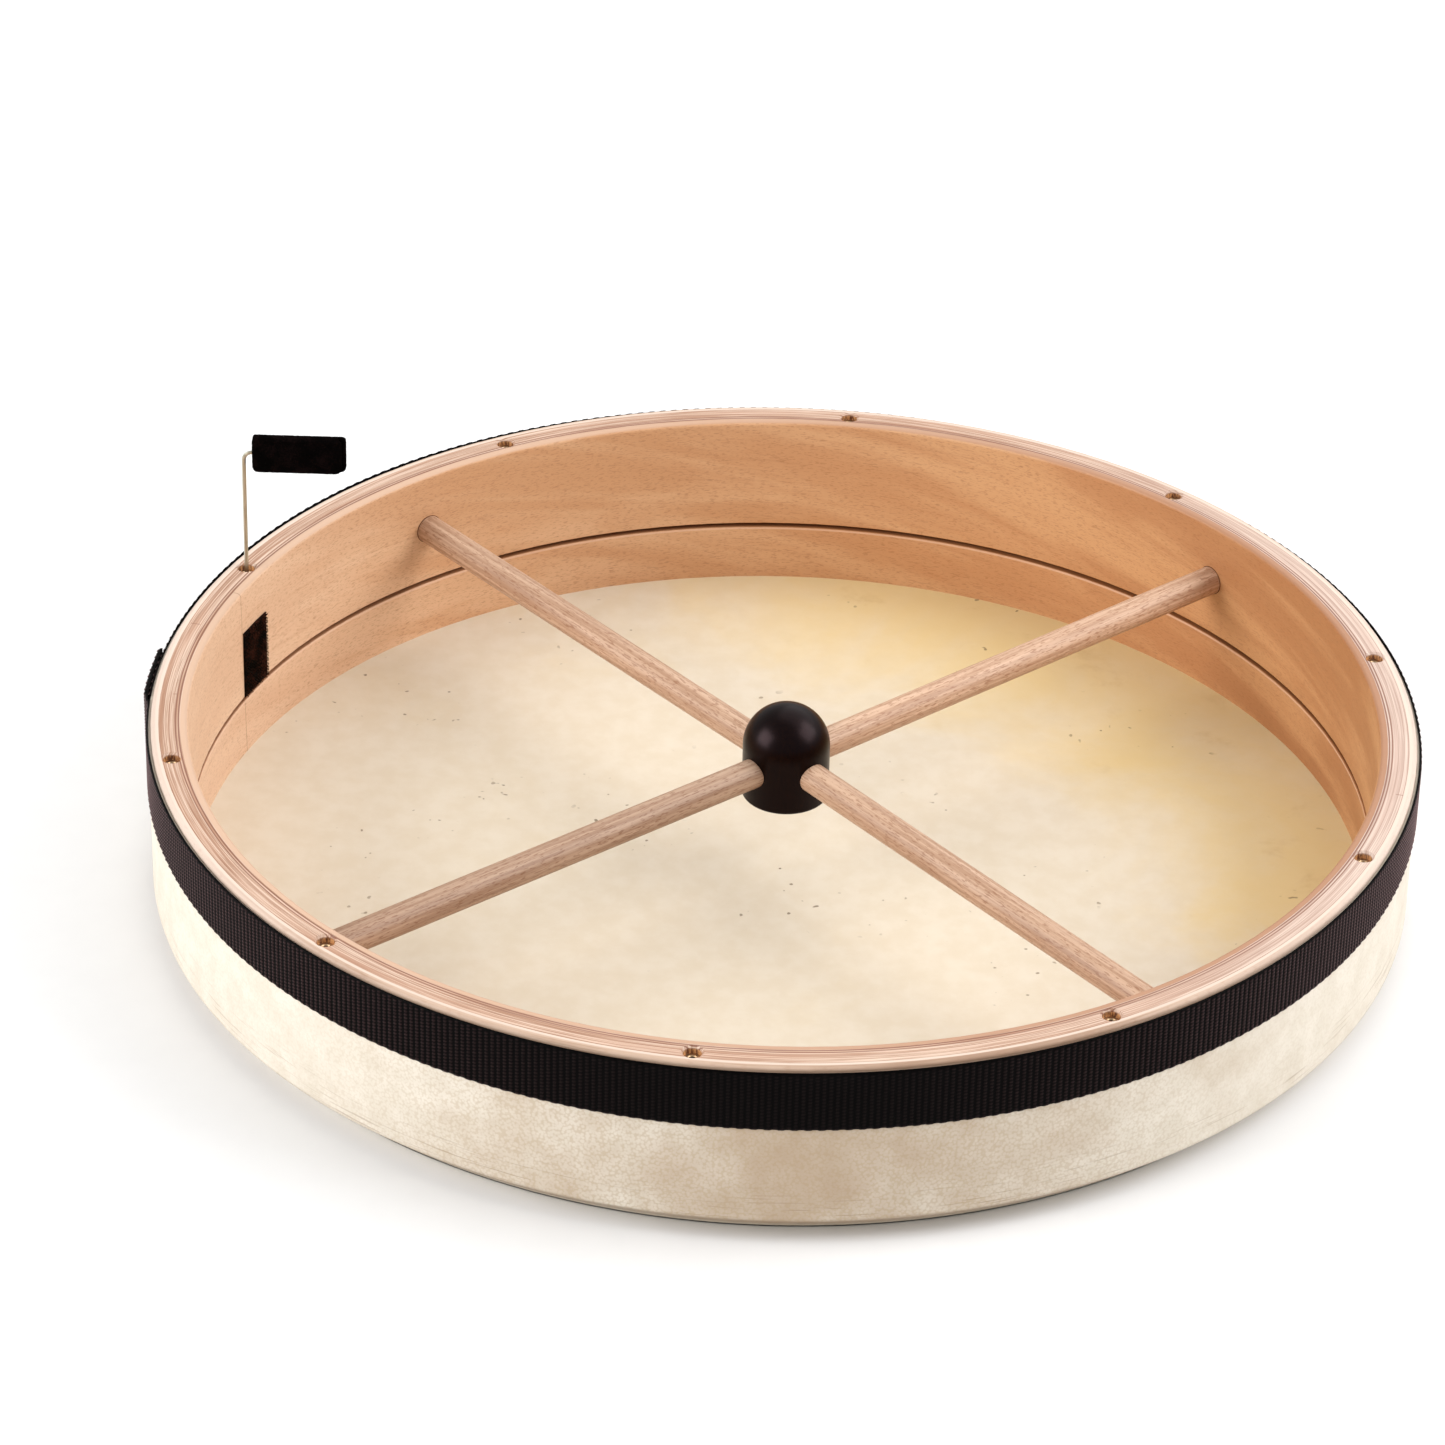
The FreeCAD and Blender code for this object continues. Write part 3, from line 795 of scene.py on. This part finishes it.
def make_hook_patch():
    """Slab that follows the lining, with rows of small hooks and a frayed edge."""
    draw = random.Random(11)
    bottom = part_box("hook_patch")[0][2]
    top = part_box("hook_patch")[1][2]
    columns = 41
    rows = 61
    points = []
    for column in range(columns):
        degrees = PATCH_START + (PATCH_END - PATCH_START) * column / (columns - 1)
        for row in range(rows):
            edge = min(column, columns - 1 - column, row, rows - 1 - row) == 0
            height = bottom + (top - bottom) * row / (rows - 1)
            thickness = PATCH_BASE * (0.55 if edge else 1.0) + (0.00006 if (column + row) % 2 else 0.0)
            points.append(polar(LINING_RADIUS - thickness, degrees, height))
    back = len(points)
    for column in range(columns):
        degrees = PATCH_START + (PATCH_END - PATCH_START) * column / (columns - 1)
        points.append(polar(LINING_RADIUS, degrees, bottom))
        points.append(polar(LINING_RADIUS, degrees, top))
    faces = [face[::-1] for face in grid_faces(columns, rows)]
    faces += grid_faces(columns, 2, start=back)
    for column in range(columns - 1):
        here = column * rows
        behind = back + column * 2
        faces.append((here, here + rows, behind + 2, behind))
        faces.append((here + rows - 1, behind + 1, behind + 3, here + 2 * rows - 1))
    faces.append((*range(rows), back + 1, back))
    last = (columns - 1) * rows
    faces.append((*range(last + rows - 1, last - 1, -1), back + 2 * columns - 2, back + 2 * columns - 1))

    def add_hook(degrees, height):
        """Thin square wire that rises from the tape and bends over."""
        across = math.degrees(HOOK_HALF_WIRE / LINING_RADIUS)
        corners = (
            (-across, -HOOK_HALF_WIRE),
            (across, -HOOK_HALF_WIRE),
            (across, HOOK_HALF_WIRE),
            (-across, HOOK_HALF_WIRE),
        )
        side = draw.choice((-1, 1))
        route = ((0.0, 0.0), (0.75, 0.0), (1.0, 0.30), (0.85, 0.62), (0.60, 0.60))
        start = len(points)
        for rise, bend in route:
            radius = LINING_RADIUS - PATCH_BASE - rise * HOOK_HEIGHT
            level = height + side * bend * HOOK_HEIGHT
            for turn, lift in corners:
                points.append(polar(radius, degrees + turn, level + lift))
        for ring in range(len(route) - 1):
            here = start + ring * 4
            for corner in range(4):
                after = (corner + 1) % 4
                faces.append((here + corner, here + after, here + 4 + after, here + 4 + corner))
        faces.append(tuple(range(start + 3, start - 1, -1)))
        faces.append(tuple(range(start + 4 * len(route) - 4, start + 4 * len(route))))

    def add_frayed_thread(height):
        """Short loose end at the cut edge."""
        length = draw.uniform(0.0005, 0.0016)
        tip_height = height + draw.uniform(-0.0004, 0.0004)
        reach = math.degrees(length / LINING_RADIUS)
        depth = LINING_RADIUS - PATCH_BASE * 0.5
        start = len(points)
        for corner in (-FRAY_HALF_WIDTH, FRAY_HALF_WIDTH):
            points.append(polar(depth, PATCH_START + 0.02, height + corner))
        points.append(polar(depth + 0.0002, PATCH_START + 0.02, height))
        points.append(polar(depth - draw.uniform(0.0, 0.0003), PATCH_START - reach, tip_height))
        for a, b in ((0, 1), (1, 2), (2, 0)):
            faces.append((start + a, start + b, start + 3))
        faces.append((start + 2, start + 1, start))

    for column in range(HOOK_COLUMNS):
        for row in range(HOOK_ROWS):
            part = (column + 0.5 + draw.uniform(-0.08, 0.08)) / HOOK_COLUMNS
            level = (row + 0.5 + draw.uniform(-0.08, 0.08)) / HOOK_ROWS
            add_hook(PATCH_START + (PATCH_END - PATCH_START) * part, bottom + (top - bottom) * level)
    for index in range(FRAYED_THREADS):
        add_frayed_thread(bottom + (top - bottom) * (index + draw.random()) / FRAYED_THREADS)
    material = tape_look("hook_tape", colour(3, 1, 0), colour(52, 24, 15), 0.50, 900.0)
    patch = new_piece("hook_patch_detail", points, faces, material)
    patch.data.shade_flat()
    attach(patch, "frame")
    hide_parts("hook_patch")


# ---------------------------------------------------------------- key grip


def grip_outline(distance):
    """How far the tape's ends are pulled in near its rounded corners, by distance from an edge."""
    near = min(max(GRIP_CORNER - distance, 0.0), GRIP_CORNER)
    return GRIP_CORNER - math.sqrt(GRIP_CORNER ** 2 - near ** 2)


def make_grip():
    """Loop tape folded over the key's short arm: up the front, over the fold and down the back."""
    low, high = (Vector(corner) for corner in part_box("key_grip"))
    middle = (low.y + high.y) / 2
    half = (high.y - low.y) / 2
    fold = half * 0.95
    flat_length = high.z - low.z - fold
    wrap = 2 * flat_length + math.pi * fold
    columns = round(wrap / GRIP_STEP)
    rows = round((high.x - low.x) / GRIP_STEP)
    arm_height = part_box("key_shaft")[1][2] - KEY_HALF_WIDTH
    draw = random.Random(5)

    def section(distance, inset):
        """(y, z) on the folded tape, this far along it and this far in from its outer side."""
        if distance < flat_length:
            height = low.z + distance
            side = -1
        elif distance > wrap - flat_length:
            height = low.z + wrap - distance
            side = 1
        else:
            turn = (distance - flat_length) / fold
            reach = fold - inset
            return middle - reach * math.cos(turn), low.z + flat_length + reach * math.sin(turn)
        bulge = half - 0.0004 * smooth(0.0015, 0.0060, abs(height - arm_height))
        return middle + side * (bulge - inset), height

    points = []
    for inset in (0.0, GRIP_LAYER):
        for column in range(columns + 1):
            distance = wrap * column / columns
            from_edge = min(distance, wrap - distance)
            from_fold = high.z - section(distance, 0.0)[1]
            pull = max(grip_outline(from_edge), grip_outline(from_fold))
            on_front = 1 - smooth(wrap / 2 - 0.0020, wrap / 2 + 0.0020, distance)
            start = low.x + pull
            end = high.x - pull - GRIP_FRONT_SHORTER * on_front
            for row in range(rows + 1):
                y, z = section(distance, inset)
                x = start + (end - start) * row / rows
                point = Vector((x, y, z))
                if inset == 0.0:
                    outward = Vector((0, y - middle, max(z - low.z - flat_length, 0.0))).normalized()
                    point += outward * PILE_HEIGHT * (draw.random() - 0.6)
                    point.z += PILE_HEIGHT * 0.6 * (draw.random() - 0.5)
                    point.x += PILE_HEIGHT * 0.6 * (draw.random() - 0.5)
                points.append(point)
    layer = (columns + 1) * (rows + 1)
    faces = grid_faces(columns + 1, rows + 1)
    faces += [face[::-1] for face in grid_faces(columns + 1, rows + 1, start=layer)]
    for row in range(rows):
        last = columns * (rows + 1) + row
        faces.append((row, row + 1, layer + row + 1, layer + row))
        faces.append((last + 1, last, layer + last, layer + last + 1))
    for column in range(columns):
        here = column * (rows + 1)
        there = here + rows + 1
        faces.append((there, here, layer + here, layer + there))
        faces.append((here + rows, there + rows, layer + there + rows, layer + here + rows))
    material = tape_look("loop_tape", colour(1, 0, 0), colour(14, 6, 6), 0.80, 1600.0)
    grip = new_piece("grip_tape", points, faces, material)
    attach(grip, "key")
    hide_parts("key_grip")


# ---------------------------------------------------------------- dowel glue lines and painted shade


def make_dowel_glue_and_shade_lines():
    """Thin dark lines where the dowels go into the lining: a glue line, with painted shade for the gap
    round each dowel.
    """
    look = Look("joint_shadow", {"Specular IOR Level": 0.1})
    grain = look.noise(look.place(), 900.0, 2.0)
    look.paint(look.mix(grain, colour(70, 42, 26), colour(120, 78, 50)))
    look.gloss(look.spread(grain, 0.6, 0.8))
    look.bump(grain, 0.00005, 0.5)
    centre = Vector((*HUB_PLACE, SPOKE_HEIGHT))
    tube = 0.00025
    turns = 64
    sides = 6
    points = []
    faces = []
    for degrees in SPOKE_ANGLES.values():
        direction = polar(1.0, degrees)
        across = polar(1.0, degrees + 90.0)
        start = len(points)
        for index in range(turns):
            turn = math.tau * index / turns
            outward = across * math.cos(turn) + Vector((0, 0, 1)) * math.sin(turn)
            base = centre + outward * SPOKE_RADIUS
            along = base.x * direction.x + base.y * direction.y
            from_axis = base.x ** 2 + base.y ** 2
            reach = math.sqrt(along ** 2 + LINING_RADIUS ** 2 - from_axis) - along
            for side in range(sides):
                bend = math.tau * side / sides
                offset = outward * tube * math.cos(bend) - direction * tube * math.sin(bend)
                points.append(base + direction * reach + offset)
        for index in range(turns):
            here = start + index * sides
            there = start + (index + 1) % turns * sides
            for side in range(sides):
                after = (side + 1) % sides
                faces.append((here + side, there + side, there + after, here + after))
    glue_and_shade_lines = new_piece("dowel_glue_and_shade_lines", points, faces, look.material)
    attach(glue_and_shade_lines, "frame")


# ---------------------------------------------------------------- the whole scene

make_camera()
make_lights()
make_floor()
make_hide()
make_webbing()
make_hook_patch()
make_grip()
make_dowel_glue_and_shade_lines()

wear("outer_shell", shell_look())
wear("fixed_hoop", plies_look("plywood"))
wear("tuning_ring", plies_look("ring_plywood"))
wear("hoop_lining", "ring_lining", beech_lining_look())
for spoke, degrees in SPOKE_ANGLES.items():
    wear(spoke, dowel_look("dowel_beech_" + spoke[6:], degrees, SPOKE_TONES[spoke]))
wear("hub", hub_look())
wear("threaded_inserts", metal_look("insert_metal", colour(196, 164, 128), 0.38, (300.0, 300.0, 4000.0)))
wear("pressure_plates", metal_look("plate_steel", colour(190, 190, 190), 0.40, (2500.0, 400.0, 400.0)))
wear("key_shaft", metal_look("key_steel", colour(204, 200, 182), 0.32, (2500.0, 2500.0, 120.0)))
screws = [name for name in nodes if name.startswith("tuning_screw")]
wear(*screws, metal_look("screw_steel", colour(96, 92, 88), 0.38, (900.0, 900.0, 2500.0)))
